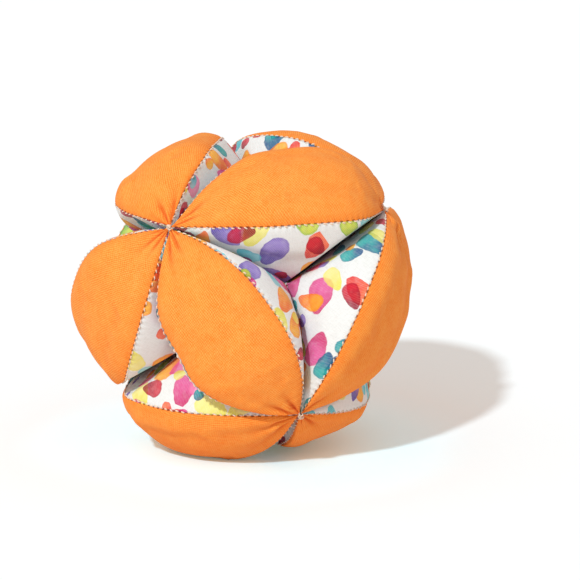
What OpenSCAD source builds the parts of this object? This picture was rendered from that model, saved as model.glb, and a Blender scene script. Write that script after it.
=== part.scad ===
// Sensory ball: twelve stuffed fabric wedges sewn together at their pointed tips.
// The wedges lie along the twelve edges of an octahedron, so they make three crossing
// rings of four, with six sewn corners and eight three-sided finger hollows.
// Millimetres. Z is up, the ball stands on the hollow below its centre, the origin is
// on the floor under the centre, and the front view looks along +Y.

/* [Ball] */
// Distance from the ball's centre to each sewn corner
corner_r = 56; // [50:0.5:64]
// How far the middle of a wedge stands out past the sphere through the corners
crown_rise = 4; // [2:0.5:7]
// Turn of the whole ball about the vertical, in degrees
spin = -145.2; // [-180:0.2:180]
// Depth of the flat that the ball's weight presses into each base wedge
floor_press = 0.5; // [0.3:0.1:0.6]

/* [Wedge] */
// Finished width of the outer panel at its middle, seam to seam
outer_w = 38; // [32:0.5:42]
// Rise of the outer panel's middle above its two seams
outer_bulge = 6.5; // [4:0.5:9]
// Distance from the ball's centre to the inner ridge of a wedge at its middle
ridge_r = 14; // [10:0.5:20]
// Thickness of the woven cotton
fabric_t = 0.7; // [0.7:0.1:1.2]

/* [Corner tacks] */
// Radius of the knot of thread at each corner
knot_r = 1.2; // [0.8:0.1:2]

/* [Play] */
// Roll of a wedge each way from its rest, about the line through its two tips, in degrees
roll_range = 8; // [3:0.5:9]
// Gap from a wedge to the plane halfway to its neighbour
half_gap = 0.15; // [0.15:0.05:0.4]
// Gap between a wedge's tip and the knot
knot_gap = 0.3; // [0.2:0.05:0.5]
// Sewing ease between two layers of one wedge
ease = 0.1; // [0.05:0.05:0.2]

/* [Hidden] */
$fn = 120;
// Tilt that lays one face of the octahedron flat on the floor
face_tilt = acos(1 / sqrt(3));
// Half of the straight line between a wedge's two corners, which is also as far from the centre
half_chord = corner_r / sqrt(2);
crown_r = corner_r + crown_rise;
half_w = outer_w / 2;
// Length longer than the ball is wide, for half spaces
reach = 2 * crown_r;

// Distance from the centre to the line between the two outer seams of a wedge, at its middle
seam_x = crown_r - outer_bulge;

// Side panels: a sphere through both corners, the middle of the outer seam and the centre of
// the octahedron's face, where three wedges meet at the bottom of a hollow
face_x = corner_r * sqrt(2) / 3;
face_z = corner_r / 3;
seam_rest = corner_r * corner_r - seam_x * seam_x - half_w * half_w;
face_rest = corner_r * corner_r - face_x * face_x - face_z * face_z;
side_det = 4 * (half_w * (half_chord - face_x) - face_z * (half_chord - seam_x));
side_z = 2 * (seam_rest * (half_chord - face_x) - face_rest * (half_chord - seam_x)) / side_det;
side_x = 2 * (half_w * face_rest - face_z * seam_rest) / side_det;
side_r = norm([half_chord - side_x, half_chord, side_z]);
// Half of a wedge's greatest thickness, across its two side panels
side_depth = side_r - side_z;

// Inner ridge: a sphere through both corners and the ridge point
ridge_x = (corner_r * corner_r - ridge_r * ridge_r) / (2 * (half_chord - ridge_r));
ridge_form_r = ridge_x - ridge_r;

// A wedge leans away from the plane between it and a neighbour on both sides of the line
// from corner to face centre, so that neither touches that plane when both have rolled
lean = atan(2 * sqrt(3) * sin(roll_range) / (1 + 3 * cos(roll_range)));
// Room of the knot in a wedge's tip, and the length cut square off the tip inside that room
knot_room_r = knot_r + knot_gap;
tip_trim = knot_room_r / 3;

// Height of the ball's centre over the floor: the middle of each base wedge's outer seam
// is its lowest point
centre_h = seam_x * sin(face_tilt) + half_w * cos(face_tilt) - floor_press;

// Unit directions of the sewn corners in the ball's own frame, before it is stood up
RIGHT = [1, 0, 0];
AHEAD = [0, 1, 0];
ABOVE = [0, 0, 1];
// Corner names with their directions
CORNERS = [
    ["tack_upper_left", RIGHT],
    ["tack_lower_front", AHEAD],
    ["tack_upper_right", ABOVE],
    ["tack_lower_left", -ABOVE],
    ["tack_upper_back", -AHEAD],
    ["tack_lower_back", -RIGHT]
];
// Wedge names, the two corners that each one joins, and the roll in degrees at which it
// has settled between its neighbours
WEDGES = [
    ["top_front", RIGHT, ABOVE, -6],
    ["top_left", RIGHT, -AHEAD, 3],
    ["top_back", ABOVE, -AHEAD, -3],
    ["side_front", RIGHT, AHEAD, 5],
    ["side_right", AHEAD, ABOVE, 16],
    ["side_back_right", ABOVE, -RIGHT, 0],
    ["side_back", -AHEAD, -RIGHT, 0],
    ["side_back_left", -ABOVE, -AHEAD, 0],
    ["side_left", RIGHT, -ABOVE, -6],
    ["base_left", AHEAD, -ABOVE, 0],
    ["base_right", AHEAD, -RIGHT, 0],
    ["base_back", -ABOVE, -RIGHT, 0]
];
// Wedges with more stuffing than the rest, and how much further their outer panel bulges, as
// a share of outer_bulge
swell_shares = [
    ["top_front", 0.6],
    ["top_left", 0.5],
    ["top_back", 0.2],
    ["side_left", 0.1],
    ["side_back", 0.2],
    ["side_back_left", 0.1],
    ["side_back_right", 0.1]
];
LAYERS = ["_outer_panel", "_side_panel_a", "_side_panel_b", "_filling"];

// The ball's own frame, tilted, turned and set down on the floor
module stand() {
    translate([0, 0, centre_h])
        rotate([0, 0, spin])
            rotate(a = face_tilt, v = [-1, -1, 0])
                children();
}

// A wedge's frame between two corners: x out from the centre, y along the wedge, z across
module between(first, second) {
    across = cross(first, second);
    multmatrix([
        [first.x, second.x, across.x, 0],
        [first.y, second.y, across.y, 0],
        [first.z, second.z, across.z, 0],
        [0, 0, 0, 1]
    ])
        rotate([0, 0, 45])
            children();
}

// Rolls a wedge about the line through its two tips
module rolled(angle) {
    translate([half_chord, 0, 0])
        rotate([0, angle, 0])
            translate([-half_chord, 0, 0])
                children();
}

// Half space across the wedge, on its first or its second side, cut away to a distance
module half_space(side, gap) {
    translate([-reach, -reach, side > 0 ? gap : -gap - 2 * reach])
        cube(2 * reach);
}

// Swell of a wedge's outer panel, from swell_shares, or none
function swell(name) = concat(
    [for (entry = swell_shares) if (entry[0] == name) entry[1]],
    0
)[0];

// Solid inside the outer panel's surface, drawn in by depth: a circle arc through both corners
// and the crown, swelled across by a smaller arc, and filled behind it to the wedge's thickness
module outer_form(depth, swell) {
    bulge = outer_bulge * (1 + swell);
    rise = seam_x + bulge - half_chord;
    arc_r = (half_chord * half_chord + rise * rise) / (2 * rise);
    belly_r = (half_w * half_w + bulge * bulge) / (2 * bulge);
    belly_x = arc_r - belly_r;
    translate([seam_x + bulge - arc_r, 0, 0])
        rotate_extrude()
            intersection() {
                union() {
                    translate([belly_x, 0])
                        circle(belly_r - depth);
                    square([2 * max(belly_x, 0), 2 * side_depth], center = true);
                }
                translate([0, -reach])
                    square([2 * reach, 2 * reach]);
            }
}

// Solid inside both side panels and the inner ridge, drawn in by depth, between trimmed tips
module sided_form(depth) {
    intersection() {
        translate([0, tip_trim - half_chord, -reach])
            cube([reach, 2 * (half_chord - tip_trim), 2 * reach]);
        translate([ridge_x, 0, 0])
            sphere(ridge_form_r - depth);
        translate([side_x, 0, -side_z])
            sphere(side_r - depth);
        translate([side_x, 0, side_z])
            sphere(side_r - depth);
    }
}

// Room of one neighbour: two half spaces that lean apart along the line from the corner to
// the face centre
module neighbour_room(depth) {
    for (tilt = [-lean, lean])
        translate([half_chord, -half_chord, 0])
            rotate([0, 0, -45])
                rotate(a = tilt, v = [-2, 1, 1])
                    rotate([-45, 0, 0])
                        translate([-reach, half_gap + depth - 2 * reach, -reach])
                            cube(2 * reach);
}

// What a wedge leaves free: the rooms of its four neighbours and of the knots at its tips
module left_free(depth) {
    for (along = [0, 1]) {
        mirror([0, along, 0]) {
            neighbour_room(depth);
            mirror([0, 0, 1])
                neighbour_room(depth);
            translate([half_chord, -half_chord, 0])
                sphere(knot_room_r + depth);
        }
    }
}

// Orange lens-shaped panel that faces outwards
module outer_panel(roll, swell) {
    color("darkorange")
        difference() {
            rolled(roll)
                intersection() {
                    sided_form(0);
                    outer_form(0, swell);
                }
            rolled(roll)
                outer_form(fabric_t, swell);
            left_free(0);
        }
}

// Printed panel on one side, from the outer seam to the inner ridge
module side_panel(roll, swell, side) {
    color("mistyrose")
        difference() {
            rolled(roll)
                intersection() {
                    sided_form(0);
                    outer_form(fabric_t + ease, swell);
                    half_space(side, ease / 2);
                }
            left_free(0);
            difference() {
                rolled(roll)
                    sided_form(fabric_t);
                left_free(fabric_t);
            }
        }
}

// Fibre stuffing inside the three panels
module filling(roll, swell) {
    color("white")
        difference() {
            rolled(roll)
                intersection() {
                    sided_form(fabric_t + ease);
                    outer_form(fabric_t + 2 * ease, swell);
                }
            left_free(fabric_t + ease);
        }
}

// One layer of a wedge in the wedge's own frame
module wedge_layer(layer, roll, swell) {
    if (layer == LAYERS[0]) outer_panel(roll, swell);
    if (layer == LAYERS[1]) side_panel(roll, swell, 1);
    if (layer == LAYERS[2]) side_panel(roll, swell, -1);
    if (layer == LAYERS[3]) filling(roll, swell);
}

// One layer of a wedge in its place, cut flat where it stands on the floor
module placed_layer(wedge, layer) {
    difference() {
        stand()
            between(wedge[1], wedge[2])
                wedge_layer(layer, wedge[3], swell(wedge[0]));
        translate([-reach, -reach, -reach])
            cube([2 * reach, 2 * reach, reach]);
    }
}

// Knot of thread that holds four tips together
module tack(direction) {
    color("ivory")
        stand()
            translate(corner_r * direction)
                sphere(knot_r);
}

for (c = CORNERS)
    tack(c[1]);
for (w = WEDGES, layer = LAYERS)
    placed_layer(w, layer);
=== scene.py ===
"""Fabric sensory ball: twelve stuffed wedges of orange and printed cotton, tacked at six corners."""
import math

import bpy
import numpy as np
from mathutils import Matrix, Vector


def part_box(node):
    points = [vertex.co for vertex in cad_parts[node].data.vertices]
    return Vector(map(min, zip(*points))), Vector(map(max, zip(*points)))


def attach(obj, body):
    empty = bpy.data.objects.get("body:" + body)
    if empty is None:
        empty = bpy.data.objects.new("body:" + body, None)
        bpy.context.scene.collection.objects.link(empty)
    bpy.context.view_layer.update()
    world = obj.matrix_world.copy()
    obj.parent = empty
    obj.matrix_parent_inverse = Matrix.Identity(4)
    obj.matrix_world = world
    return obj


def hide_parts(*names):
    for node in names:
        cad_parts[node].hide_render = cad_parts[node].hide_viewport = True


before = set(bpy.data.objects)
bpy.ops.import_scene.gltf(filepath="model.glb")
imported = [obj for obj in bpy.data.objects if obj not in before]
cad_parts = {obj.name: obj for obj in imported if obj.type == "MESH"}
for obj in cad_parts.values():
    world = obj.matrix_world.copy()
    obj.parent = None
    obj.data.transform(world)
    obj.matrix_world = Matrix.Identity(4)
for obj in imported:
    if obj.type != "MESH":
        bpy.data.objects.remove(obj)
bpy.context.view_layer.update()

MM = 0.001
ROOT2 = math.sqrt(2)
# Least length by which a direction is divided
LEAST_LENGTH = 1e-12

# Corners of the ball, with a knot of thread on each
CORNER_NAMES = ["upper_left", "lower_front", "upper_right", "lower_left", "upper_back", "lower_back"]

# Each wedge with its two corners and the roll in degrees at which it has settled
WEDGES = [
    ("top_front", "upper_left", "upper_right", -6.0),
    ("top_left", "upper_left", "upper_back", 3.0),
    ("top_back", "upper_right", "upper_back", -3.0),
    ("side_front", "upper_left", "lower_front", 5.0),
    ("side_right", "lower_front", "upper_right", 16.0),
    ("side_back_right", "upper_right", "lower_back", 0.0),
    ("side_back", "upper_back", "lower_back", 0.0),
    ("side_back_left", "lower_left", "upper_back", 0.0),
    ("side_left", "upper_left", "lower_left", -6.0),
    ("base_left", "lower_front", "lower_left", 0.0),
    ("base_right", "lower_front", "lower_back", 14.6),
    ("base_back", "lower_left", "lower_back", 0.0),
]

# How the stuffing has shaped a wedge, where it differs from the plain one. The crown, the seams and
# the widest points of sides a and b lie in the middle section, as shares of the corner radius out
# and across. A positive skew fills the second half less.
# A bump is its share along the wedge and across the outer panel, its height in millimetres and its
# spread along and across. A fold runs out of a tip of the outer panel, 1 for the second corner: that
# tip, its share across, its reach and depth in millimetres, and its drift.
SHAPES = {
    "top_front": {
        "crown": 1.13, "skew": -0.20,
        "bumps": [(0.955, 0.4, -2.6, 0.055, 1.3), (0.76, 0.5, 0.9, 0.13, 0.6)],
        "folds": [
            (-1, 0.30, 9, 1.1, 0.0), (-1, -0.25, 6, 0.7, 0.1),
            (1, 0.25, 8, 1.2, -0.1), (1, 0.62, 9, 1.0, 0.0),
        ],
    },
    "top_left": {
        "crown": 1.12, "skew": 0.09,
        "bumps": [
            (-0.34, 0.80, 2.0, 0.22, 0.5), (0.10, -0.05, -1.7, 0.15, 0.5),
            (0.30, -0.9, 0.9, 0.2, 0.4),
        ],
        "folds": [(-1, -0.62, 8, 1.1, 0.0), (-1, 0.0, 6, 0.8, 0.1)],
    },
    "top_back": {
        "crown": 1.075,
        "bumps": [
            (0.02, 0.40, 1.2, 0.25, 0.5), (-0.62, 0.0, 1.3, 0.13, 1.0),
            (-0.87, 0.0, -2.0, 0.09, 1.5),
        ],
    },
    "side_front": {
        "crown": 1.07, "skew": -0.05,
        "bumps": [(0.19, -1.0, 1.3, 0.2, 0.4)],
        "folds": [
            (-1, -0.55, 11, 1.1, 0.1), (-1, 0.1, 7, 0.7, 0.0),
            (1, 0.3, 6, 0.9, 0.0), (1, -0.4, 7, 0.8, 0.0),
        ],
    },
    "side_right": {
        "crown": 1.067, "skew": -0.085,
        "bumps": [(0.92, -0.1, 3.4, 0.08, 0.9), (0.42, -0.5, -1.2, 0.12, 0.6)],
        "folds": [(1, 0.05, 19, 1.0, 0.1), (1, -0.38, 15, 0.9, 0.0), (-1, 0.2, 8, 0.8, 0.0)],
    },
    "side_back_right": {"crown": 1.00, "seam_b": (0.89, 0.27)},
    "side_back": {"crown": 1.094},
    "side_back_left": {"crown": 1.082},
    "side_left": {
        "crown": 1.107, "skew": -0.117, "seam_b": (1.057, 0.349),
        "folds": [(-1, 0.3, 8, 1.0, 0.0), (-1, -0.2, 10, 0.9, 0.1)],
    },
    "base_left": {
        "crown": 1.11, "skew": -0.15,
        "folds": [
            (-1, -0.25, 12, 1.0, 0.0), (-1, 0.15, 9, 1.2, 0.1),
            (-1, 0.5, 13, 1.0, 0.0), (1, -0.1, 10, 1.0, 0.1),
        ],
    },
    "base_right": {
        "crown": 0.995, "skew": 0.018, "seam_a": (0.872, 0.26), "wide_a": (0.69, 0.305),
        "bumps": [(-0.2, 0.5, 1.5, 0.18, 0.5), (0.25, 1.0, -1.2, 0.15, 0.4)],
        "folds": [(-1, 0.1, 8, 0.9, 0.0)],
    },
}

# Sizes of the ball, read off the frame
CORNERS = {}
for name in CORNER_NAMES:
    low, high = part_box(f"tack_{name}")
    CORNERS[name] = np.array((low + high) / 2)
CENTRE = np.mean(list(CORNERS.values()), axis=0)
CORNER_R = float(np.mean([np.linalg.norm(c - CENTRE) for c in CORNERS.values()]))
HALF_CHORD = CORNER_R / ROOT2

# The plain wedge's middle section, as shares of the corner radius out and across. Three wedges meet
# at the centre of a face of the octahedron, at the bottom of a hollow.
CROWN_OUT = 1.07
SEAM = (0.953, 0.339)
SIDE_WIDEST = (0.72, 0.372)
FACE_CENTRE = (ROOT2 / 3, 1 / 3)
RIDGE_OUT = 0.25
# Distance of the inner ridge from the line through the tips, and how softly the sides run into it
RIDGE_R = HALF_CHORD - RIDGE_OUT * CORNER_R
RIDGE_ROUND = 4.0 * MM
# Least cosine at which the ridge's plane is met, and the slack at a seam's angle
LEAST_COSINE, ANGLE_SLACK = 0.05, 1e-9
# How a section shrinks towards the tips: (1 - |s|^FULLNESS)^TAPER
FULLNESS, TAPER = 2.75, 1.11
# The last section, as a share of the half chord, and how fast bumps and folds fade out before it
TIP_END, BUMP_FADE, TIP_FADE = 0.990, 16, 4

# Clearance for the rolling wedges: the lean of the planes between them, the gap to each plane, and
# how softly cloth is pressed off it, by its distance from the corner
ROLL_RANGE = math.radians(8)
LEAN = math.atan(2 * math.sqrt(3) * math.sin(ROLL_RANGE) / (1 + 3 * math.cos(ROLL_RANGE)))
HALF_GAP = 0.15 * MM
ROOM_SOFT = (0.10, 0.03 * MM, 0.35 * MM)
# Rounds in which points past the line from a corner to the centre are brought back
ROOM_PASSES = 6

# Rows and columns of the panels, and how columns crowd towards the seams: by a sine's angle on the
# outer panel, and by a power on a side panel, which starts just past the seam
ALONG, ACROSS_OUTER, ACROSS_SIDE = 200, 34, 30
CROWD_OUTER, CROWD_SIDE, PAST_SEAM = 1.335, 1.3, 1e-6
PANEL_KINDS = ["outer_panel", "side_panel_a", "side_panel_b"]
# Thickness of the cloth, how near a tip it is thinner, and how softly the floor presses it flat
CLOTH = 0.6 * MM
TIP_THIN = 4 * MM
FLOOR_SOFT = 0.3 * MM
# Edges between faces that meet at more than this stay sharp
SHARP = math.radians(60)

# Lumps of the stuffing: their height and length, and the count, lengths and phases of their waves
LUMP, LUMP_LENGTH = 0.35 * MM, 26 * MM
WAVES, WAVE_LENGTHS, WAVE_PHASES = 18, (0.7, 1.5), (0, 6.3)
# Depth and width of the dip along a seam, and height and width of its puckers
SEAM_DIP, SEAM_DIP_WIDE = 0.45 * MM, 0.9 * MM
PUCKER, PUCKER_WIDE = 0.16 * MM, 1.3 * MM

# A fold: its width as a share of the half panel, the distance over which it grows as wide again,
# and the height and place of the ridges beside it, as shares of its depth and width
FOLD_WIDE, FOLD_WIDENS = 0.17, 40 * MM
RIDGE_SHARE, RIDGE_AWAY = 0.45, 1.9
# Distances from the tip where it is deepest and has opened, and over which it drifts by its share
FOLD_DEEPEST, FOLD_OPEN, FOLD_DRIFT_RUN = 2.5 * MM, 3 * MM, 10 * MM
# Gathers at a tip: their count on each kind of panel, how far they spread and stray across it, and
# their depth, reach (both in millimetres), strength and drift
GATHER_COUNTS = (4, 3, 3)
GATHER_SPREAD, GATHER_STRAY = 0.7, 0.15
GATHER_DEPTH, GATHER_REACH = 0.42, (3.5, 7.0)
GATHER_STRENGTH, GATHER_DRIFT = (0.4, 1.0), 0.1
# Bend of a crease that takes the full painted shade, per millimetre, the columns and least width over
# which it is measured, and the rounds in which it is evened out
CREASE_BEND, CREASE_STEP, CREASE_LEAST, CREASE_ROUNDS = 0.35, 2, 0.2 * MM, 2

# Cloth simulation of the skins: its scale, rows, columns and frames, and how much wider than the
# space between its seams each skin is cut, all over and at the tips
SIM_SCALE, SIM_ROWS, SIM_OUTER, SIM_SIDE, SIM_FRAMES = 10, 72, 20, 14, 20
CUT_WIDER, CUT_WIDER_TIP, CUT_TIP_SHARE, CUT_LONGER = 1.05, 0.30, 0.12, 1.015
SIM_CLOTH = {
    "quality": 6,
    "mass": 0.15,
    "tension_stiffness": 15,
    "compression_stiffness": 15,
    "shear_stiffness": 4,
    "bending_stiffness": 0.05,
    "use_pressure": True,
    "uniform_pressure_force": 6,
}
# Orders of the broad swelling that is taken out of that cloth, along and around a wedge
BROAD_ALONG, BROAD_AROUND = 5, 2
# Most that its folds may stand up or sink in, and the share of them that is kept
SIM_FOLD_CAP, SIM_FOLD_SHARE = 0.8 * MM, 0.45

# Round threads: their sides, the share of their ends, and a direction that none runs along
THREAD_SIDES, THREAD_END = 6, 0.45
NO_THREAD_WAY = (0.31, 0.57, 0.76)
# Stitches along the seams: their step, radius and half length, and the points along one
STITCH_STEP, STITCH_R, STITCH_REACH, STITCH_POINTS = 2.4 * MM, 0.25 * MM, 0.62 * MM, 7
# Mean and spread of a stitch's slant, half length (as a share) and place off the seam, and how high
# its middle stands and how far its ends dive, in radii
STITCH_SLANT, STITCH_LENGTHS, STITCH_ASIDE = (0.30, 0.12), (1, 0.10), (0.8, 0.35)
STITCH_STAND, STITCH_DIVE = 0.9, 1.3
# Threads of a knot: their count, radius, points and half length, and how far out they lie on each
# of the four tips
KNOT_THREADS, KNOT_THREAD_R, KNOT_POINTS, KNOT_REACH = 11, 0.17 * MM, 9, (0.45 * MM, 0.95 * MM)
KNOT_SPREAD, KNOT_SPREAD_LEAST = (1.7 * MM, 0.5 * MM, 1.2 * MM, 0.8 * MM), 0.3
# Spread of their bearing and slant, height in millimetres, and how they arch and wind
KNOT_TURN, KNOT_SKEW, KNOT_HEIGHT = 0.25, 0.5, (0.75, 1.1)
KNOT_ARCH, KNOT_WIND, KNOT_WIND_TURNS, KNOT_PHASES = 0.9, 0.3, 2.5, (0, 3)

# Fibre inside a wedge: rows, columns and last section, depth under the skin and least radius,
# height and length of its lumps, how far it is drawn in, and its height over the floor
FIBRE_ROWS, FIBRE_COLUMNS, FIBRE_END = 48, 36, 0.93
FIBRE_UNDER, FIBRE_LEAST = 2.5 * MM, 0.4 * MM
FIBRE_LUMP, FIBRE_LUMP_LENGTH = 0.3 * MM, 9 * MM
FIBRE_DRAWN_IN, FIBRE_OVER_FLOOR = 0.965, 1.2 * MM

# First seeds of the random draws
SEED_CUT, SEED_GATHERS, SEED_KNOT, SEED_LUMPS, SEED_FIBRE, SEED_STITCHES = 40, 100, 300, 500, 700, 900
# How far from the cloth's middle a panel is cut, in millimetres, and how far askew
CUT_PLACES, CUT_ASKEW = (-400, 400), (-0.6, 0.6)


def unit(v):
    return v / np.maximum(np.linalg.norm(v, axis=-1, keepdims=True), LEAST_LENGTH)


def add_object(data):
    ob = bpy.data.objects.new(data.name, data)
    bpy.context.scene.collection.objects.link(ob)
    return ob


def smooth_mesh(name, verts, faces, material):
    """A smooth-shaded mesh of one material."""
    me = bpy.data.meshes.new(name)
    me.from_pydata(verts.tolist(), [], faces)
    me.polygons.foreach_set("use_smooth", np.ones(len(me.polygons), bool))
    me.materials.append(material)
    return me


def circle_through(p, q, r):
    """Centre and radius of the circle through three points of the plane."""
    rows = np.array([[2 * (q[0] - p[0]), 2 * (q[1] - p[1])], [2 * (r[0] - p[0]), 2 * (r[1] - p[1])]])
    rest = np.array([q @ q - p @ p, r @ r - p @ p])
    centre = np.linalg.solve(rows, rest)
    return centre, float(np.linalg.norm(p - centre))


def from_chord(out, across):
    """A point of the middle section, measured from the line through the two tips."""
    return np.array([out * CORNER_R - HALF_CHORD, across * CORNER_R])


def ray_to(circle, angle):
    """Distance from the chord line to a circle of the section, along an angle."""
    (cx, cz), radius = circle
    along = cx * np.cos(angle) + cz * np.sin(angle)
    aside = cx * np.sin(angle) - cz * np.cos(angle)
    return along + np.sqrt(np.maximum(radius**2 - aside**2, 0))


def between_rows(values, places):
    """Rows of a grid at fractional places, on a smooth curve through the given rows."""
    i = np.clip(np.floor(places).astype(int), 0, len(values) - 2)
    f = (places - i)[:, None]
    before, here = values[np.maximum(i - 1, 0)], values[i]
    after, beyond = values[i + 1], values[np.minimum(i + 2, len(values) - 1)]
    curve = 2 * before - 5 * here + 4 * after - beyond + f * (3 * (here - after) + beyond - before)
    return here + 0.5 * f * (after - before + f * curve)


def rows_along(count, end):
    """Shares along the chord, closer together towards the tips, as a column."""
    return (np.sin(np.linspace(-1, 1, count) * math.pi / 2) * end)[:, None]


def arc_lengths(line):
    """Running length along a polyline, from zero at its middle."""
    steps = np.linalg.norm(np.diff(line, axis=0), axis=-1)
    run = np.concatenate([[0], np.cumsum(steps)])
    return run - run[-1] / 2


def lumps(points, rng, wavelength):
    """Smooth seeded noise from about -1 to 1, as a sum of waves in random directions."""
    total = np.zeros(points.shape[:-1])
    for _ in range(WAVES):
        way = unit(rng.normal(size=3))
        length = wavelength * rng.uniform(*WAVE_LENGTHS)
        total += np.cos(points @ way * 2 * math.pi / length + rng.uniform(*WAVE_PHASES))
    return total / math.sqrt(WAVES)


def closed_quads(index):
    """Faces of grids that close on themselves: index is (..., rows, columns)."""
    a, b = index[..., :-1, :], index[..., 1:, :]
    return np.stack([a, b, np.roll(b, -1, -1), np.roll(a, -1, -1)], axis=-1).reshape(-1, 4)


def grid_normals(p):
    """Unit normals of a grid of points, by central differences."""
    return unit(np.cross(np.gradient(p, axis=0), np.gradient(p, axis=1)))


def keep_in_room(p, soften=True):
    """Presses local points off the planes that lean away from the four neighbours."""
    half = np.where(p[..., 1] > 0, 1.0, -1.0)
    side = np.where(p[..., 2] < 0, -1.0, 1.0)
    x, y, z = p[..., 0], -np.abs(p[..., 1]), np.abs(p[..., 2])
    b = np.stack([x - y, x + y, z * ROOT2], axis=-1) / ROOT2
    corner = np.array([CORNER_R, 0, 0])
    away = np.array([0, 1, -1]) / ROOT2
    outward = np.array([1, 1, 1]) / math.sqrt(3)
    normals = [math.cos(lean) * away + math.sin(lean) * outward for lean in (-LEAN, LEAN)]
    if soften:
        share, least, most = ROOM_SOFT
        for normal in normals:
            soft = np.clip(share * np.linalg.norm(b - corner, axis=-1), least, most)
            d = (b - corner) @ normal - HALF_GAP
            kept = soft * np.logaddexp(0, d / soft)
            b = b + (kept - d)[..., None] * normal
    for _ in range(ROOM_PASSES):
        b[..., 2] = np.maximum(b[..., 2], 0)
        for normal in normals:
            b = b + np.maximum(HALF_GAP - (b - corner) @ normal, 0)[..., None] * normal
    x, y, z = (b[..., 0] + b[..., 1]) / ROOT2, (b[..., 1] - b[..., 0]) / ROOT2, b[..., 2]
    return np.stack([x, -y * half, np.maximum(z, 0) * side], axis=-1)


class Wedge:
    """Axes of one wedge at rest: x out from the ball's centre, y from tip to tip, z across."""

    def __init__(self, name, first, second, roll):
        self.name = name
        self.roll = math.radians(roll)
        shape = SHAPES.get(name, {})
        self.skew = shape.get("skew", 0.0)
        self.bumps, self.folds = shape.get("bumps", []), shape.get("folds", [])
        seams = [from_chord(*shape.get(key, SEAM)) for key in ("seam_a", "seam_b")]
        self.seam_angles = [math.atan2(seam[1], seam[0]) for seam in seams]
        crown = from_chord(shape.get("crown", CROWN_OUT), 0)
        self.outer_arc = circle_through(seams[0], crown, seams[1] * [1, -1])
        face = from_chord(*FACE_CENTRE)
        widest = [from_chord(*shape.get(key, SIDE_WIDEST)) for key in ("wide_a", "wide_b")]
        self.side_arcs = [circle_through(seams[i], widest[i], face) for i in (0, 1)]
        self.relief = np.zeros((SIM_ROWS, SIM_OUTER + 2 * SIM_SIDE))
        a, b = unit(CORNERS[first] - CENTRE), unit(CORNERS[second] - CENTRE)
        self.axes = np.array([(a + b) / ROOT2, (b - a) / ROOT2, np.cross(a, b)])
        self.seed = [w[0] for w in WEDGES].index(name)

    def placed(self, local):
        """Local points in the ball's frame."""
        return CENTRE + local @ self.axes

    def local(self, placed):
        """Points of the ball's frame as local points."""
        return (placed - CENTRE) @ self.axes.T

    def section(self, angle):
        """Radius of the middle section about the chord line, at angles from straight out."""
        outer = ray_to(self.outer_arc, angle)
        side = np.where(angle > 0, *(ray_to(arc, np.abs(angle)) for arc in self.side_arcs))
        ridge = RIDGE_R / np.maximum(-np.cos(angle), LEAST_COSINE)
        share = np.clip(0.5 + 0.5 * (ridge - side) / RIDGE_ROUND, 0, 1)
        side = ridge * (1 - share) + side * share - RIDGE_ROUND * share * (1 - share)
        a, b = self.seam_angles
        inside = (angle <= a + ANGLE_SLACK) & (angle >= -b - ANGLE_SLACK)
        return np.where(inside, outer, side)

    def taper(self, s):
        """Share of its middle size that a section has."""
        moved = s + self.skew * (1 - s**2)
        return (1 - np.abs(moved) ** FULLNESS) ** TAPER

    def radius(self, s, angle):
        """Distance of the skin from the chord line, with the bumps of the stuffing."""
        radius = self.section(angle) * self.taper(s)
        across = angle / np.where(angle > 0, *self.seam_angles)
        ends = np.minimum(1, BUMP_FADE * (1 - np.abs(s)))
        for along, aside, height, length, width in self.bumps:
            away = ((s - along) / length) ** 2 + ((across - aside) / width) ** 2
            radius = radius + height * MM * ends * np.exp(-away)
        return radius

    def ring(self):
        """Angles round a section: over the outer panel, down side a and up side b."""
        a, b = self.seam_angles
        down, up = np.linspace(a, math.pi, SIM_SIDE + 1), np.linspace(-math.pi, -b, SIM_SIDE + 1)
        return np.concatenate([np.linspace(-b, a, SIM_OUTER + 1), down[1:], up[1:-1]])

    def relief_on(self, kind, angle):
        """Relief of the simulated cloth at the rows of a panel and at angles across it."""
        a, b = self.seam_angles
        ridge = SIM_OUTER + SIM_SIDE
        if kind == "outer_panel":
            values, place = self.relief[:, :SIM_OUTER + 1], (angle + b) / (a + b) * SIM_OUTER
        elif kind == "side_panel_a":
            values, place = self.relief[:, SIM_OUTER:ridge + 1], (angle - a) / (math.pi - a) * SIM_SIDE
        else:
            columns = [0, *range(self.relief.shape[1] - 1, ridge - 1, -1)]
            values, place = self.relief[:, columns], (-angle - b) / (math.pi - b) * SIM_SIDE
        rows = between_rows(values, np.linspace(0, SIM_ROWS - 1, ALONG))
        return between_rows(rows.T, place).T

    def surface(self, s, angle, radius):
        """Local points at shares s along the chord, after the wedge has rolled."""
        turned = angle - self.roll
        y = np.broadcast_to(HALF_CHORD * s, radius.shape)
        return np.stack([HALF_CHORD + radius * np.cos(turned), y, radius * np.sin(turned)], axis=-1)


def cloth_skins(starts, cuts):
    """All the skins as one cloth, held at seams and tips and cut to another shape."""
    index = np.arange(starts[..., 0].size).reshape(starts.shape[:3])
    me = bpy.data.meshes.new("skins")
    faces = closed_quads(index)[:, ::-1]
    me.from_pydata((starts.reshape(-1, 3) * SIM_SCALE).tolist(), [], faces.tolist())
    skins = add_object(me)
    skins.shape_key_add(name="start")
    cut = skins.shape_key_add(name="cut")
    cut.data.foreach_set("co", (cuts * SIM_SCALE).ravel())
    seams = index[:, :, [0, SIM_OUTER, SIM_OUTER + SIM_SIDE]]
    fixed = np.unique(np.concatenate([index[:, [0, -1]].ravel(), seams.ravel()]))
    held = skins.vertex_groups.new(name="held")
    held.add(fixed.tolist(), 1.0, "REPLACE")
    settings = skins.modifiers.new("cloth", "CLOTH").settings
    settings.vertex_group_mass = held.name
    settings.rest_shape_key = cut
    for key, value in SIM_CLOTH.items():
        setattr(settings, key, value)
    settings.effector_weights.gravity = 0
    return skins


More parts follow.
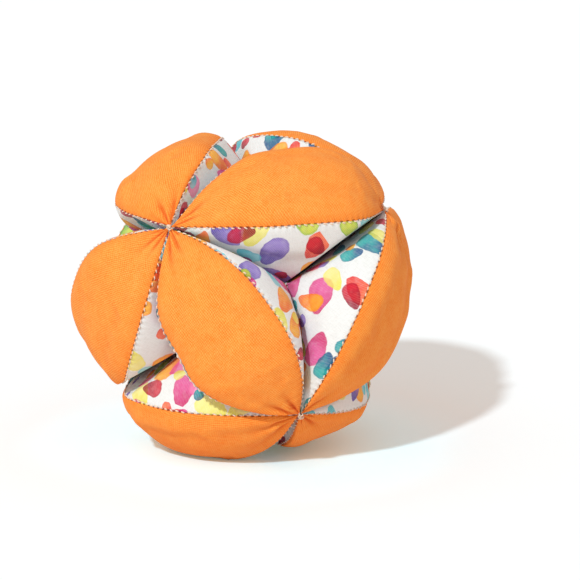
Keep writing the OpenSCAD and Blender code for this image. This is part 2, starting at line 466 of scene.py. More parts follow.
def without_swelling(moved, s, ring):
    """Displacement of a skin without its broad part."""
    around = [np.cos(k * ring) for k in range(BROAD_AROUND + 1)]
    around += [np.sin(k * ring) for k in range(1, BROAD_AROUND + 1)]
    along = np.polynomial.chebyshev.chebvander(s[:, 0], BROAD_ALONG)
    broad = np.einsum("ik,jl->ijkl", along, np.array(around).T).reshape(moved.size, -1)
    shares = np.linalg.lstsq(broad, moved.ravel(), rcond=None)[0]
    return moved - (broad @ shares).reshape(moved.shape)


def simulate_cloth(wedges):
    """Stuffs the skins, which are cut wider than their seams and blown up from inside."""
    s = rows_along(SIM_ROWS, TIP_END)
    starts = np.stack([w.surface(s, w.ring()[None, :], w.radius(s, w.ring()[None, :])) for w in wedges])
    chord = np.array([HALF_CHORD, 0, 0])
    wider = CUT_WIDER + CUT_WIDER_TIP * np.exp(-(1 - np.abs(s)) / CUT_TIP_SHARE)
    grown = np.stack([wider, np.full_like(wider, CUT_LONGER), wider], axis=-1)
    skins = cloth_skins(starts, chord + (starts - chord) * grown)
    scene = bpy.context.scene
    for number in range(1, SIM_FRAMES + 1):
        scene.frame_set(number)
    ends = np.zeros(starts.size)
    skins.evaluated_get(bpy.context.evaluated_depsgraph_get()).data.vertices.foreach_get("co", ends)
    ends = ends.reshape(starts.shape) / SIM_SCALE
    scene.frame_set(1)
    bpy.data.objects.remove(skins)
    for wedge, start, end in zip(wedges, starts, ends):
        out = unit((start - chord) * [1, 0, 1])
        moved = without_swelling(np.sum((end - start) * out, axis=-1), s, wedge.ring())
        wedge.relief = SIM_FOLD_CAP * np.tanh(SIM_FOLD_SHARE * moved / SIM_FOLD_CAP)


def fold(s, t, end, place, reach, depth, drift):
    """A valley between two ridges that runs out of a tip, t from -1 to 1 across the panel."""
    tip = HALF_CHORD * (1 - end * s)
    away = (t - place - drift * tip / FOLD_DRIFT_RUN) / (FOLD_WIDE * (1 + tip / FOLD_WIDENS))
    valley = np.exp(-(away**2)) - RIDGE_SHARE * np.exp(-((np.abs(away) - RIDGE_AWAY) ** 2))
    run = np.exp(-((tip - FOLD_DEEPEST) / (reach * MM)) ** 2) * np.clip(tip / FOLD_OPEN, 0, 1)
    return -depth * MM * valley * run


def gathers(s, t, rng, count):
    """Small folds where the cloth is drawn in at both tips."""
    total = np.zeros(np.broadcast(s, t).shape)
    for end in (-1, 1):
        stray = rng.uniform(-GATHER_STRAY, GATHER_STRAY, count)
        for place in np.linspace(-GATHER_SPREAD, GATHER_SPREAD, count) + stray:
            reach, strength = rng.uniform(*GATHER_REACH), rng.uniform(*GATHER_STRENGTH)
            drift = rng.uniform(-GATHER_DRIFT, GATHER_DRIFT)
            total += fold(s, t, end, place, reach, strength * GATHER_DEPTH, drift)
    return total


class Panel:
    """One panel of a wedge as a grid: rows along the wedge, columns across."""

    def __init__(self, wedge, kind):
        self.wedge, self.kind = wedge, kind
        self.outer = kind == "outer_panel"
        self.turn = -1 if kind == "side_panel_b" else 1
        s = rows_along(ALONG, TIP_END)
        share, angle = self.columns()
        tips = np.minimum(1, wedge.taper(s) * TIP_FADE)
        radius = wedge.radius(s, angle[None, :]) + wedge.relief_on(kind, angle) * tips
        p = wedge.surface(s, angle[None, :], radius)
        self.measure(p, share)
        lift = self.lift(p, s, share, tips)
        p = keep_in_room(p + self.turn * grid_normals(p) * lift[..., None])
        self.points = wedge.placed(p)
        self.points[..., 2] = FLOOR_SOFT * np.logaddexp(0, self.points[..., 2] / FLOOR_SOFT)
        self.normals = self.turn * grid_normals(self.points)
        middle = arc_lengths(p[:, ACROSS_OUTER // 2 if self.outer else 0])[:, None]
        across = self.run - self.run[:, -1:] / 2 if self.outer else self.run
        self.flat = np.stack([np.broadcast_to(middle, across.shape), across], axis=-1)
        from_tip = np.linalg.norm(np.abs(p) - [HALF_CHORD, HALF_CHORD, 0], axis=-1)
        self.depth = CLOTH * np.minimum(1, from_tip / TIP_THIN)
        # Share of painted shade in the creases, by how sharply the cloth folds in
        self.crease = self.hollow_share()

    def columns(self):
        """Share across the panel, from -1 to 1, and angle about the chord line of each column."""
        if self.outer:
            share = np.sin(np.linspace(-1, 1, ACROSS_OUTER) * CROWD_OUTER) / math.sin(CROWD_OUTER)
            return share[None, :], np.where(share > 0, *self.wedge.seam_angles) * share
        side = PANEL_KINDS.index(self.kind) - 1
        start = self.wedge.seam_angles[side] + PAST_SEAM
        t = np.linspace(0, 1, ACROSS_SIDE) ** CROWD_SIDE
        return 2 * t[None, :] - 1, (start + t * (math.pi - start)) * (1, -1)[side]

    def measure(self, p, share):
        """Running length across each row, distance to the nearest seam and length along it."""
        across = np.linalg.norm(np.diff(p, axis=1), axis=-1)
        self.run = np.concatenate([np.zeros((ALONG, 1)), np.cumsum(across, axis=1)], axis=1)
        self.to_seam = np.minimum(self.run, self.run[:, -1:] - self.run) if self.outer else self.run
        near, far = (arc_lengths(p[:, i])[:, None] for i in (0, -1 if self.outer else 0))
        self.seam_run = np.where(share < 0, near, far)
        self.seam = np.stack([self.seam_run, self.to_seam], axis=-1)

    def lift(self, p, s, share, tips):
        """How far the cloth stands off the wedge's plain form: lumps, seams, gathers and folds."""
        seed, kind = self.wedge.seed, PANEL_KINDS.index(self.kind)
        stuffing = lumps(p, np.random.default_rng(SEED_LUMPS + seed), LUMP_LENGTH)
        lift = LUMP * stuffing * np.sqrt(self.wedge.taper(s))
        lift = lift - SEAM_DIP * np.exp(-((self.to_seam / SEAM_DIP_WIDE) ** 2)) * tips
        rng = np.random.default_rng(SEED_GATHERS + seed * len(PANEL_KINDS) + kind)
        lift = lift + gathers(s, share, rng, GATHER_COUNTS[kind])
        for entry in self.wedge.folds if self.outer else []:
            lift = lift + fold(s, share, *entry)
        beat = np.cos(self.seam_run * 2 * math.pi / STITCH_STEP)
        return lift + PUCKER * beat * np.exp(-self.to_seam / PUCKER_WIDE) * tips

    def hollow_share(self):
        """How sharply the cloth is folded in across the panel, from 0 to 1: the share of painted shade
        in the crease.
        """
        w, step = self.points, CREASE_STEP
        left, here, right = w[:, :-2 * step], w[:, step:-step], w[:, 2 * step:]
        rise = np.sum(((left + right) / 2 - here) * self.normals[:, step:-step], axis=-1)
        span = np.linalg.norm(right - left, axis=-1) / 2
        bend = np.zeros(w.shape[:2])
        bend[:, step:-step] = rise / np.maximum(span, CREASE_LEAST) ** 2 * MM
        for _ in range(CREASE_ROUNDS):
            bend[1:-1] = (bend[:-2] + 2 * bend[1:-1] + bend[2:]) / 4
        return np.clip(bend / CREASE_BEND, 0, 1)

    def shell_faces(self):
        """Faces of the panel's surface, of its inside, and of the rim between the two."""
        rows, columns = self.points.shape[:2]
        index = np.arange(rows * columns).reshape(rows, columns)
        a, b, c, d = index[:-1, :-1], index[1:, :-1], index[1:, 1:], index[:-1, 1:]
        top = np.stack([a, b, c, d], axis=-1).reshape(-1, 4)
        ring = np.concatenate([index[0, :], index[1:, -1], index[-1, -2::-1], index[-2:0:-1, 0]])
        after = np.roll(ring, -1)
        rim = np.stack([ring, after, after + rows * columns, ring + rows * columns], axis=-1)
        if self.turn < 0:
            top, rim = top[:, ::-1], rim[:, ::-1]
        return np.concatenate([top, top[:, ::-1] + rows * columns, rim])

    def mesh(self, material, cut, askew):
        """A closed shell of cloth under the surface, cut from the cloth at a place."""
        inner = self.wedge.local(self.points - self.normals * self.depth[..., None])
        inner = self.wedge.placed(keep_in_room(inner, soften=False))
        inner[..., 2] = np.maximum(inner[..., 2], 0)
        verts = np.concatenate([self.points.reshape(-1, 3), inner.reshape(-1, 3)])
        name = f"{self.wedge.name}_{self.kind}"
        me = smooth_mesh(name, verts, self.shell_faces().tolist(), material)
        loops = np.zeros(len(me.loops), np.int32)
        me.loops.foreach_get("vertex_index", loops)
        loops %= self.run.size
        c, k = math.cos(askew), math.sin(askew)
        flat = self.flat.reshape(-1, 2) / MM @ np.array([[c, k], [-k, c]]) + cut
        for name, values in (("cloth", flat), ("seam", self.seam.reshape(-1, 2) / MM)):
            layer = me.uv_layers.new(name=name)
            layer.data.foreach_set("uv", values[loops].astype(np.float32).ravel())
        # The crease share goes with the mesh, for the painted shade in creases
        crease = me.attributes.new("crease", "FLOAT", "POINT")
        crease.data.foreach_set("value", np.tile(self.crease.ravel(), 2).astype(np.float32))
        me.set_sharp_from_angle(angle=SHARP)
        return add_object(me)


def threads(name, paths, radius, material):
    """Closed round threads as one object: paths is (count, points, 3)."""
    count, n = paths.shape[:2]
    along = unit(np.gradient(paths, axis=1))
    aside = unit(np.cross(along, unit(np.array(NO_THREAD_WAY))))
    up = np.cross(along, aside)
    turn = np.arange(THREAD_SIDES) * 2 * math.pi / THREAD_SIDES
    size = radius * np.concatenate([[THREAD_END], np.ones(n - 2), [THREAD_END]])
    ring = aside[:, :, None] * np.cos(turn)[:, None] + up[:, :, None] * np.sin(turn)[:, None]
    verts = paths[:, :, None] + ring * size[None, :, None, None]
    index = np.arange(count * n * THREAD_SIDES).reshape(count, n, THREAD_SIDES)
    quads = closed_quads(index)[:, [0, 3, 2, 1]]
    faces = quads.tolist() + index[:, 0, ::-1].tolist() + index[:, -1].tolist()
    return add_object(smooth_mesh(name, verts.reshape(-1, 3), faces, material))


def follow(run, values, places):
    """Rows of values at places along a running length."""
    return np.stack([np.interp(places, run, values[:, i]) for i in range(3)], axis=-1)


def seam_stitches(wedge, outer, sides, material):
    """White thread along both outer seams of a wedge, in short slanted stitches."""
    paths = []
    for edge, side in ((0, sides[0]), (-1, sides[1])):
        seam = outer.points[:, edge]
        run = arc_lengths(seam)
        last = int((run[-1] - STITCH_STEP) / STITCH_STEP)
        places = np.arange(-last, last + 1) * STITCH_STEP
        middle = follow(run, seam, places)
        tangent = unit(follow(run, np.gradient(seam, axis=0), places))
        inward = unit(follow(run, side.points[:, 2] - seam, places))
        up = unit(follow(run, outer.normals[:, edge] + side.normals[:, 0], places))
        rng = np.random.default_rng(SEED_STITCHES + wedge.seed * 2 + edge)
        count = (len(places), 1, 1)
        way = unit(tangent + inward * rng.normal(*STITCH_SLANT, (len(places), 1)))[:, None]
        steps = np.linspace(-1, 1, STITCH_POINTS)[None, :, None]
        lift = STITCH_R * (STITCH_STAND - STITCH_DIVE * steps**4)
        reach = STITCH_REACH * rng.normal(*STITCH_LENGTHS, count)
        aside = STITCH_R * rng.normal(*STITCH_ASIDE, count)
        line = middle[:, None] + way * steps * reach + up[:, None] * lift
        paths.append(line + inward[:, None] * aside)
    paths = np.concatenate(paths)
    paths[..., 2] = np.maximum(paths[..., 2], STITCH_R)
    return threads(f"{wedge.name}_seam_stitches", paths, STITCH_R, material)


def corner_tack(name, material):
    """The knot that holds four tips: short threads that cross over them."""
    centre = CORNERS[name]
    up = unit(centre - CENTRE)
    axes = [unit(CORNERS[n] - CENTRE) for n in CORNER_NAMES]
    first = next(a for a in axes if abs(a @ up) < 0.5)
    second = np.cross(up, first)
    rng = np.random.default_rng(SEED_KNOT + CORNER_NAMES.index(name))
    steps = np.linspace(-1, 1, KNOT_POINTS)[:, None]
    paths = []
    for i in range(KNOT_THREADS):
        bearing = math.pi / 2 * (i % 4) + rng.normal() * KNOT_TURN
        out = first * math.cos(bearing) + second * math.sin(bearing)
        skew = rng.normal() * KNOT_SKEW
        way = np.cross(up, out) * math.cos(skew) + out * math.sin(skew)
        place = centre + out * rng.uniform(KNOT_SPREAD_LEAST, 1) * KNOT_SPREAD[i % 4]
        reach = rng.uniform(*KNOT_REACH)
        lift = rng.uniform(*KNOT_HEIGHT) * MM - KNOT_ARCH * reach * steps**2
        bend = KNOT_WIND * reach * np.sin(steps * KNOT_WIND_TURNS + rng.uniform(*KNOT_PHASES))
        paths.append(place + way * steps * reach + up * lift + out * bend)
    return threads(f"tack_{name}_knot", np.array(paths), KNOT_THREAD_R, material)


def filling(wedge, material):
    """Lumpy body of fibre inside the three panels."""
    s = rows_along(FIBRE_ROWS, FIBRE_END)
    angle = np.linspace(-math.pi, math.pi, FIBRE_COLUMNS, endpoint=False)[None, :]
    radius = np.maximum(wedge.radius(s, angle) - FIBRE_UNDER, FIBRE_LEAST)
    p = wedge.surface(s, angle, radius)
    p[..., 0] += FIBRE_LUMP * lumps(p, np.random.default_rng(SEED_FIBRE + wedge.seed), FIBRE_LUMP_LENGTH)
    p = keep_in_room(p)
    centre = np.array([HALF_CHORD, 0, 0])
    p = centre + (p - centre) * [FIBRE_DRAWN_IN, 1, FIBRE_DRAWN_IN]
    w = wedge.placed(p)
    w[..., 2] = np.maximum(w[..., 2], FIBRE_OVER_FLOOR)
    index = np.arange(FIBRE_ROWS * FIBRE_COLUMNS).reshape(FIBRE_ROWS, FIBRE_COLUMNS)
    faces = closed_quads(index).tolist() + [index[0].tolist(), index[-1, ::-1].tolist()]
    return add_object(smooth_mesh(f"{wedge.name}_fibre", w.reshape(-1, 3), faces, material))


class Nodes:
    """Short calls that add nodes to a material or a world and link them."""

    def __init__(self, block):
        block.use_nodes = True
        self.block, self.tree = block, block.node_tree

    def put(self, socket, value):
        if isinstance(value, bpy.types.NodeSocket):
            self.tree.links.new(value, socket)
        else:
            socket.default_value = value

    def add(self, kind, *values, **settings):
        """A new node with its settings, and values or links for its first inputs."""
        node = self.tree.nodes.new(kind)
        for key, value in settings.items():
            setattr(node, key, value)
        for socket, value in zip(node.inputs, values):
            self.put(socket, value)
        return node

    def fill(self, node, values):
        for key, value in values.items():
            self.put(node.inputs[key], value)
        return node

    def finish(self, values):
        """Fills inputs of the material's shader and gives back the material."""
        self.fill(self.tree.nodes["Principled BSDF"], values)
        return self.block

    def show(self, output, unseen, seen):
        """Ends in one shader for the camera and another for the light."""
        camera = self.add("ShaderNodeLightPath").outputs["Is Camera Ray"]
        mix = self.add("ShaderNodeMixShader", camera, unseen.outputs[0], seen.outputs[0])
        self.put(self.tree.nodes[output].inputs["Surface"], mix.outputs[0])

    def uv(self, name):
        return self.add("ShaderNodeUVMap", uv_map=name).outputs[0]

    # Share of painted shade in creases, read from the mesh
    def crease(self):
        return self.add("ShaderNodeAttribute", attribute_name="crease").outputs["Fac"]

    def parts(self, vector):
        return tuple(self.add("ShaderNodeSeparateXYZ", vector).outputs)

    def join(self, x, y):
        return self.add("ShaderNodeCombineXYZ", x, y, 0.0).outputs[0]

    def math(self, operation, *values):
        return self.add("ShaderNodeMath", *values, operation=operation).outputs[0]

    def times(self, first, second):
        return self.math("MULTIPLY", first, second)

    def wave(self, kind, value, pitch):
        """A wave from 0 to 1, one turn to a pitch."""
        turned = self.math(kind, self.times(value, 2 * math.pi / pitch))
        return self.math("MULTIPLY_ADD", turned, 0.5, 0.5)

    def vector(self, operation, *values):
        node = self.add("ShaderNodeVectorMath", *values, operation=operation)
        return node.outputs["Value" if operation == "LENGTH" else "Vector"]

    def ramp(self, value, low, high, start=0.0, end=1.0):
        """Smooth step of a value from start to end while it goes from low to high."""
        node = self.add("ShaderNodeMapRange", interpolation_type="SMOOTHSTEP", clamp=True)
        names = ("Value", "From Min", "From Max", "To Min", "To Max")
        return self.fill(node, dict(zip(names, (value, low, high, start, end)))).outputs[0]

    def noise(self, vector, scale, detail=2.0, rough=0.5, out=0):
        names = ("Vector", "Scale", "Detail", "Roughness")
        values = dict(zip(names, (vector, scale, detail, rough)))
        return self.fill(self.add("ShaderNodeTexNoise"), values).outputs[out]

    def mix(self, share, first, second, how="MIX"):
        node = self.add("ShaderNodeMix", data_type="RGBA", blend_type=how)
        return self.fill(node, {"Factor": share, 6: first, 7: second}).outputs[2]

    def tone_and_shade(self, base, where, tint, share):
        """A base colour with another over it, by its place and its share: the tone of the ribs, and
        painted shade and painted shadow.
        """
        return self.mix(self.times(where, share), base, colour(*tint))

    def bump(self, height, distance, **below):
        values = {"Strength": 1.0, "Distance": distance, "Height": height, **below}
        return self.fill(self.add("ShaderNodeBump"), values).outputs[0]


def colour(red, green, blue):
    """An sRGB colour from 0 to 255 as the linear colour that the shader takes."""
    def linear(v):
        v /= 255
        return v / 12.92 if v <= 0.04045 else ((v + 0.055) / 1.055) ** 2.4
    return (linear(red), linear(green), linear(blue), 1.0)


# Weave, in millimetres: pitch of the two cottons, lean of the ribs and of the threads across them,
# how far both wander, and the scales of that and of the slubs, along and across
ORANGE_PITCH, PRINT_PITCH = 0.84, 0.66
RIB_LEAN, CROSS_LEAN = 0.55, 0.45
WANDER, WANDER_SCALE = 1.2, 0.30
SLUB_LONG, SLUB_FINE = 0.35, 2.2
# Share of the ribs in the orange weave's relief
RIB_SHARE = 0.65
# Distances from a seam, in millimetres, over which the painted shadow in its notches fades and its
# painted shade on the cloth fades out
NOTCH_SHADOW_FADES, SEAM_SHADE_REACH = (0.30, 0.55), 5.0
# Roughness of the cottons, depth of their puckers and of their weave, where puckers fade, and the
# sheen and gloss of each cotton
COTTON_ROUGH, SHEEN_ROUGH = 0.9, 0.5
PUCKER_BUMP, WEAVE_BUMP, PUCKER_FADES = 0.10 * MM, 0.09 * MM, (0.2, 2.6)
ORANGE_FINISH, PRINT_FINISH = (0.05, 0.08), (0.06, 0.2)

# Orange cotton in sRGB: two broad tones, its slubs, the valleys between its threads, and then with
# their shares the painted shade beside a seam, the painted shade in a crease and the painted shadow in a
# notch between stitches
ORANGE_TONES = (252, 178, 87), (252, 182, 93)
ORANGE_SLUB = (248, 156, 62)
ORANGE_VALLEY, VALLEY_SHARE = (231, 96, 20), 0.80
ORANGE_SEAM_SHADE = (246, 124, 40), 0.30
ORANGE_CREASE_SHADE = (206, 78, 20), 0.65
ORANGE_NOTCH_SHADOW = (104, 36, 16), 0.75
# Printed cotton in sRGB: its slubs and ground, and with their shares its ribs, the painted shade in its
# creases and the painted shadow in the notches between stitches
PRINT_SLUB, PRINT_GROUND = (222, 226, 228), (232, 237, 240)
PRINT_RIB = (204, 206, 208), 0.10
PRINT_CREASE_SHADE = (120, 96, 100), 0.35
PRINT_NOTCH_SHADOW = (92, 34, 30), 0.6
# Print colours: (pale, deep) pairs in sRGB
PRINT_COLOURS = [
    ((246, 240, 150), (232, 226, 92)),
    ((255, 184, 34), (240, 112, 20)),
    ((228, 90, 164), (204, 30, 112)),
    ((30, 176, 176), (18, 88, 142)),
    ((210, 32, 62), (152, 12, 50)),
    ((156, 224, 234), (84, 198, 216)),
    ((208, 222, 64), (108, 178, 52)),
    ((156, 136, 218), (94, 72, 172)),
    ((242, 150, 196), (228, 90, 160)),
    ((252, 112, 62), (228, 52, 42)),
]
# Layers of petals, in millimetres: the cell of the layout that holds one, a petal's length and
# width, how much one end is wider, the share of cells that hold one, and the layout's start
PETAL_LAYERS = [
    (14.0, 14.0, 9.0, 0.30, 0.82, (3.0, 7.0, 0)),
    (12.5, 11.5, 6.6, 0.40, 0.66, (41.0, 19.0, 0)),
    (11.0, 5.8, 5.4, 0.10, 0.40, (87.0, 53.0, 0)),
]
# How far petals stray in their cells, their least and added size, how far and how finely their
# outlines waver, and where these fade
PETAL_STRAY, PETAL_LEAST, PETAL_MORE = 0.5, 0.80, 0.35
PETAL_WAVER, PETAL_WAVER_SCALE, PETAL_FADES = 1.3, 0.33, (0.93, 1.01)
# Paint: how much of the ground it lets through, the darker rim that it dries with, and how much
# thinner it is on the ribs
PAINT_SOAKED, PAINT_RIM, PAINT_RIM_AT, PAINT_ON_RIBS = 0.22, 0.45, (0.74, 0.97), -0.18
# Thread and fibre: two tones in sRGB, the scale per metre, detail and coarseness of their texture,
# and their roughness, sheen and bump
THREAD = ((206, 176, 150), (250, 240, 226)), (2500.0, 2.0, 0.5), (0.7, 0.2, 0.05 * MM)
FIBRE = ((214, 212, 208), (246, 245, 242)), (900.0, 5.0, 0.7), (0.95, 0.4, 0.4 * MM)


def weave(m, cloth, pitch):
    """Ribs of the weave, its crossing threads and the slubs in them, each from 0 to 1."""
    u, v, _ = m.parts(cloth)
    wander = m.times(m.noise(cloth, WANDER_SCALE, 3.0), WANDER)
    rise = m.math("ADD", m.times(u, RIB_LEAN), m.math("ADD", v, wander))
    fall = m.math("SUBTRACT", u, m.math("ADD", m.times(v, CROSS_LEAN), wander))
    along = m.join(m.times(u, SLUB_LONG), m.times(v, SLUB_FINE))
    across = m.join(m.times(u, SLUB_FINE), m.times(v, SLUB_LONG))
    slub_u, slub_v = m.noise(along, 1.0, 3.0, 0.6), m.noise(across, 1.0, 3.0, 0.6)
    slub = m.times(m.math("ADD", slub_u, slub_v), 0.5)
    return m.wave("SINE", rise, pitch), m.wave("SINE", fall, pitch), slub


def seam_marks(m):
    """Painted shadow in the notches between stitches, closeness to the seam for the painted shade beside
    it, beat of the stitches and gap to the seam.
    """
    run, gap, _ = m.parts(m.uv("seam"))
    beat = m.wave("COSINE", run, STITCH_STEP / MM)
    notch_shadow = m.times(m.ramp(gap, *NOTCH_SHADOW_FADES, 1.0, 0.0), m.ramp(beat, 0.30, 0.60, 1.0, 0.0))
    return notch_shadow, m.ramp(gap, 0.0, SEAM_SHADE_REACH, 1.0, 0.0), beat, gap


def finish_cloth(m, base, height, beat, gap, sheen, gloss):
    """Colour, roughness, sheen and bump of a cotton, with the puckers along its seams."""
    pucker = m.times(beat, m.ramp(gap, *PUCKER_FADES, 1.0, 0.0))
    return m.finish({
        "Base Color": base,
        "Roughness": COTTON_ROUGH,
        "Specular IOR Level": gloss,
        "Sheen Weight": sheen,
        "Sheen Roughness": SHEEN_ROUGH,
        "Normal": m.bump(height, WEAVE_BUMP, Normal=m.bump(pucker, PUCKER_BUMP)),
    })


def orange_cotton(m):
    cloth = m.uv("cloth")
    ribs, cross, slub = weave(m, cloth, ORANGE_PITCH)
    notch_shadow, close, beat, gap = seam_marks(m)
    threads = m.math("MULTIPLY_ADD", cross, 1 - RIB_SHARE, m.times(ribs, RIB_SHARE))
    patchy = m.ramp(m.noise(cloth, 0.16, 2.0), 0.35, 0.65, 0.75, 1.0)
    broad = m.ramp(m.noise(cloth, 0.05, 3.0), 0.3, 0.7)
    base = m.mix(broad, colour(*ORANGE_TONES[0]), colour(*ORANGE_TONES[1]))
    base = m.mix(m.ramp(slub, 0.32, 0.60), colour(*ORANGE_SLUB), base)
    valley = m.times(m.math("SUBTRACT", 1.0, threads), m.times(patchy, VALLEY_SHARE))
    base = m.mix(valley, base, colour(*ORANGE_VALLEY))
    # Painted shade beside the seams
    base = m.tone_and_shade(base, close, *ORANGE_SEAM_SHADE)
    # Painted shade in the creases
    base = m.tone_and_shade(base, m.crease(), *ORANGE_CREASE_SHADE)
    # Painted shadow in the notches between stitches
    base = m.tone_and_shade(base, notch_shadow, *ORANGE_NOTCH_SHADOW)
    height = m.math("ADD", m.times(threads, 0.6), slub)
    return finish_cloth(m, base, height, beat, gap, *ORANGE_FINISH)


def palette(m, value, which):
    """One of the print colours by a random value from 0 to 1: its pale tone is 0, its deep one 1."""
    node = m.add("ShaderNodeValToRGB", value)
    node.color_ramp.interpolation = "CONSTANT"
    stops = node.color_ramp.elements
    for i, pair in enumerate(PRINT_COLOURS):
        stop = stops[i] if i < 2 else stops.new(i / len(PRINT_COLOURS))
        stop.position = i / len(PRINT_COLOURS)
        stop.color = colour(*pair[which])
    return node.outputs[0]


def petals(m, base, cloth, ribs, layer):
    """A layer of painted petals over a base colour."""
    cell, length, width, pointed, kept, start = layer
    place = m.vector("MULTIPLY", m.vector("ADD", cloth, start), (1 / cell, 1 / cell, 0))
    cells = m.add("ShaderNodeTexVoronoi", voronoi_dimensions="2D", feature="F1")
    m.fill(cells, {"Scale": 1.0, "Randomness": PETAL_STRAY, "Vector": place})
    chance, hue, angle = m.parts(cells.outputs["Color"])
    edge = m.vector("SUBTRACT", m.noise(cloth, PETAL_WAVER_SCALE, 2.0, 0.5, 1), (0.5, 0.5, 0.5))
    edge = m.vector("MULTIPLY", edge, (PETAL_WAVER / cell, PETAL_WAVER / cell, 0))
    away = m.vector("SUBTRACT", place, cells.outputs["Position"])
    x, y, _ = m.parts(m.vector("ADD", away, edge))
    turn = m.times(angle, 2 * math.pi)
    c, k = m.math("COSINE", turn), m.math("SINE", turn)
    along = m.math("ADD", m.times(x, c), m.times(y, k))
    aside = m.math("SUBTRACT", m.times(y, c), m.times(x, k))
    size = m.math("MULTIPLY_ADD", chance, PETAL_MORE, PETAL_LEAST)
    e1 = m.math("DIVIDE", along, m.times(size, length / 2 / cell))
    e2 = m.math("DIVIDE", aside, m.times(size, width / 2 / cell))
    e2 = m.times(e2, m.math("MULTIPLY_ADD", e1, pointed, 1.0))
    reach = m.vector("LENGTH", m.join(e1, e2))
    mask = m.times(m.ramp(reach, *PETAL_FADES, 1.0, 0.0), m.math("LESS_THAN", chance, kept))
    blend = m.ramp(m.math("MULTIPLY_ADD", e1, 0.42, m.noise(cloth, 0.22, 3.0)), 0.20, 0.85)
    paint = m.mix(blend, palette(m, hue, 0), palette(m, hue, 1))
    paint = m.mix(m.times(m.ramp(reach, *PAINT_RIM_AT), PAINT_RIM), paint, palette(m, hue, 1))
    worn = m.ramp(m.noise(cloth, 0.5, 2.0), 0.4, 0.9, 1.0, 0.86)
    thin = m.math("MULTIPLY_ADD", ribs, PAINT_ON_RIBS, worn)
    soaked = m.mix(PAINT_SOAKED, paint, base, "MULTIPLY")
    return m.mix(m.times(mask, thin), base, soaked)


def printed_cotton(m):
    cloth = m.uv("cloth")
    ribs, _, slub = weave(m, cloth, PRINT_PITCH)
    notch_shadow, _, beat, gap = seam_marks(m)
    base = m.mix(m.ramp(slub, 0.30, 0.60), colour(*PRINT_SLUB), colour(*PRINT_GROUND))
    base = m.tone_and_shade(base, ribs, *PRINT_RIB)
    for layer in PETAL_LAYERS:
        base = petals(m, base, cloth, ribs, layer)
    # Painted shade in the creases
    base = m.tone_and_shade(base, m.crease(), *PRINT_CREASE_SHADE)
    # Painted shadow in the notches between stitches
    base = m.tone_and_shade(base, notch_shadow, *PRINT_NOTCH_SHADOW)
    height = m.math("ADD", m.times(ribs, 0.6), slub)
    return finish_cloth(m, base, height, beat, gap, *PRINT_FINISH)


def fuzzy(m, tones, texture, finish):
    """A loose material of two tones."""
    rough, sheen, bump = finish
    fuzz = m.noise(m.add("ShaderNodeTexCoord").outputs["Object"], *texture)
    return m.finish({
        "Base Color": m.mix(fuzz, colour(*tones[0]), colour(*tones[1])),
        "Roughness": rough,
        "Sheen Weight": sheen,
        "Normal": m.bump(fuzz, bump),
    })


def tack_thread(m):
    return fuzzy(m, *THREAD)


def fibre_filling(m):
    return fuzzy(m, *FIBRE)


MATERIALS = {}
for make in (orange_cotton, printed_cotton, tack_thread, fibre_filling):
    MATERIALS[make.__name__] = make(Nodes(bpy.data.materials.new(make.__name__)))


def declare(piece, body, slot, *nodes):
    """Attaches a piece to its body and hides its nodes. The slot is not used."""
    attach(piece, body)
    if nodes:
        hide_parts(*nodes)


def make_wedge(wedge):
    """The pieces of one wedge: three panels, their stitches and the fibre inside."""
    body = f"{wedge.name}_wedge"
    panels = {kind: Panel(wedge, kind) for kind in PANEL_KINDS}
    rng = np.random.default_rng(SEED_CUT + wedge.seed)
    for kind, panel in panels.items():
        slot = "orange_cotton" if panel.outer else "printed_cotton"
        cut, askew = rng.uniform(*CUT_PLACES, 2), rng.uniform(*CUT_ASKEW)
        if not panel.outer:
            askew += rng.integers(4) * math.pi / 2
        piece = panel.mesh(MATERIALS[slot], cut, askew)
        declare(piece, body, slot, f"{wedge.name}_{kind}")
    sides = panels["side_panel_b"], panels["side_panel_a"]
    stitches = seam_stitches(wedge, panels["outer_panel"], sides, MATERIALS["tack_thread"])
    declare(stitches, body, "tack_thread")
    stuffing = filling(wedge, MATERIALS["fibre_filling"])
    declare(stuffing, body, "fibre_filling", f"{wedge.name}_filling")


wedges = [Wedge(*entry) for entry in WEDGES]
simulate_cloth(wedges)
for wedge in wedges:
    make_wedge(wedge)
for name in CORNER_NAMES:
    knot = corner_tack(name, MATERIALS["tack_thread"])
    declare(knot, "corner_tacks", "tack_thread", f"tack_{name}")

# Floor: its size, its colour in the light that it gives back, and the glow and the colours that
# only the camera sees, which keep the shadow on a white floor
FLOOR_SIZE = 8.0
FLOOR_PAPER = (0.90, 0.83, 0.78, 1)
FLOOR_GLOW = (1.0, 1.0, 0.72, 1), 0.15
FLOOR_SEEN, FLOOR_SEEN_CLOSE = (0.82, 0.90, 1.0, 1), (0.77, 1.12, 1.33, 1)
# How close to the ball the floor makes up for the orange light on it, and at which openness
FLOOR_CLOSE, FLOOR_OPEN = 45 * MM, (0.55, 1.0)
# Lamp and sky
LIGHT_HEIGHT, SHADOW_BEARING = math.radians(39), math.radians(65)
KEY_STRENGTH, KEY_ANGLE, KEY_COLOUR = 2.1, math.radians(3), (0.92, 1.0, 0.98)
SKY = {"Color": (1.0, 0.85, 0.78, 1), "Strength": 0.66}
# Camera, which looks along +Y and a little down: pixels of the photo, the ball's centre and corner
# radius in it, and the camera's tilt, distance, sensor and clipping
IMAGE, BALL_PX, CORNER_R_PX = 580, (256.2, 294.5), 158.7
VIEW_DOWN = math.radians(13.67)
CAMERA_FAR = 33.3 * CORNER_R
SENSOR, CLIP = 36, (0.05, 30)


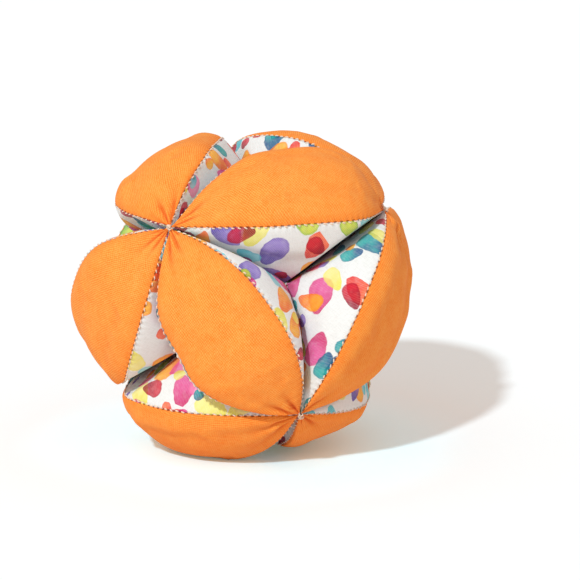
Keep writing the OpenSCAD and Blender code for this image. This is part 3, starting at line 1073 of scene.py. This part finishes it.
def lay_floor():
    me = bpy.data.meshes.new("floor")
    corners = np.array([(-1, -1, 0), (1, -1, 0), (1, 1, 0), (-1, 1, 0)]) * FLOOR_SIZE / 2
    me.from_pydata(corners.tolist(), [], [(0, 1, 2, 3)])
    m = Nodes(bpy.data.materials.new("floor_paper"))
    m.finish({"Base Color": FLOOR_PAPER, "Roughness": 1.0, "Specular IOR Level": 0.0})
    glow = m.add("ShaderNodeEmission", *FLOOR_GLOW)
    close = m.add("ShaderNodeAmbientOcclusion", samples=8)
    close.inputs["Distance"].default_value = FLOOR_CLOSE
    seen = m.mix(m.ramp(close.outputs["AO"], *FLOOR_OPEN), FLOOR_SEEN_CLOSE, FLOOR_SEEN)
    paper = m.add("ShaderNodeBsdfDiffuse", seen)
    both = m.add("ShaderNodeAddShader", paper.outputs[0], glow.outputs[0])
    m.show("Material Output", m.tree.nodes["Principled BSDF"], both)
    me.materials.append(m.block)
    add_object(me)


def light_up():
    key = bpy.data.lights.new("key", "SUN")
    key.energy, key.angle, key.color = KEY_STRENGTH, KEY_ANGLE, KEY_COLOUR
    lamp = add_object(key)
    level = math.cos(LIGHT_HEIGHT)
    way = (math.cos(SHADOW_BEARING) * level, math.sin(SHADOW_BEARING) * level, -math.sin(LIGHT_HEIGHT))
    lamp.rotation_mode = "QUATERNION"
    lamp.rotation_quaternion = Vector(way).to_track_quat("-Z", "Y")
    world = bpy.data.worlds.new("studio")
    bpy.context.scene.world = world
    w = Nodes(world)
    sky = w.fill(w.tree.nodes["Background"], SKY)
    w.show("World Output", sky, w.add("ShaderNodeBackground", (1, 1, 1, 1)))


def set_camera():
    focal_px = CORNER_R_PX * CAMERA_FAR / CORNER_R
    above = Vector((0, math.sin(VIEW_DOWN), math.cos(VIEW_DOWN)))
    behind = Vector((0, -math.cos(VIEW_DOWN), math.sin(VIEW_DOWN)))
    data = bpy.data.cameras.new("camera")
    data.sensor_width = SENSOR
    data.lens = SENSOR * focal_px / IMAGE
    data.clip_start, data.clip_end = CLIP
    camera = add_object(data)
    aside, below = [(px - IMAGE / 2) / focal_px * CAMERA_FAR for px in BALL_PX]
    camera.location = Vector(CENTRE) + behind * CAMERA_FAR - Vector((aside, 0, 0)) + above * below
    camera.rotation_mode = "QUATERNION"
    camera.rotation_quaternion = (-behind).to_track_quat("-Z", "Y")
    bpy.context.scene.camera = camera


lay_floor()
light_up()
set_camera()
bpy.context.scene.view_settings.view_transform = "Standard"
